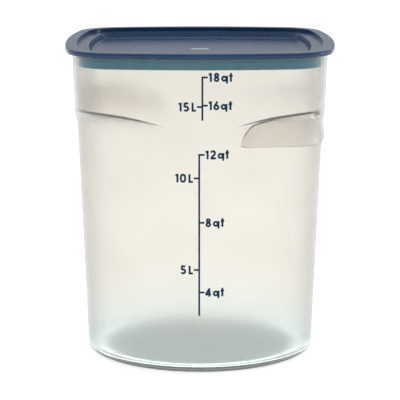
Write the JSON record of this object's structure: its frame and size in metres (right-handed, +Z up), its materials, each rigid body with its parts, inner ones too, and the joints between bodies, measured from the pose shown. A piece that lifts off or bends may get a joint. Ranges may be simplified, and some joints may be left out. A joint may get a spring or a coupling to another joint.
{
  "type": "food storage container",
  "caption": "Tall translucent food storage container, round below and a rounded square above, with corner grips, printed volume scales and a sunk plug lid.",
  "frame": {"origin": "on the ground, under the centre of the container", "axes": "+Z up; -Y is the flat front with the printed scales; the grips hang at the +X-Y and -X+Y corners"},
  "size_m": [0.2866, 0.2866, 0.3366],
  "materials": {
    "translucent_body": "satin natural polypropylene that lets light through",
    "navy_lid": "satin moulded polyethylene",
    "teal_seal": "soft moulded elastomer",
    "navy_ink": "printed ink",
    "white_ink": "printed ink"
  },
  "bodies": {
    "container": {"container_body": "translucent_body", "scale_lower": "navy_ink", "scale_upper": "navy_ink"},
    "lid": {"lid": "navy_lid", "seal_ring": "teal_seal", "lid_mark": "white_ink"}
  },
  "joints": [
    {"name": "lid_lift", "type": "slide", "parent": "container", "child": "lid", "axis": [0, 0, 1], "range_m": [0, 0.25]}
  ]
}
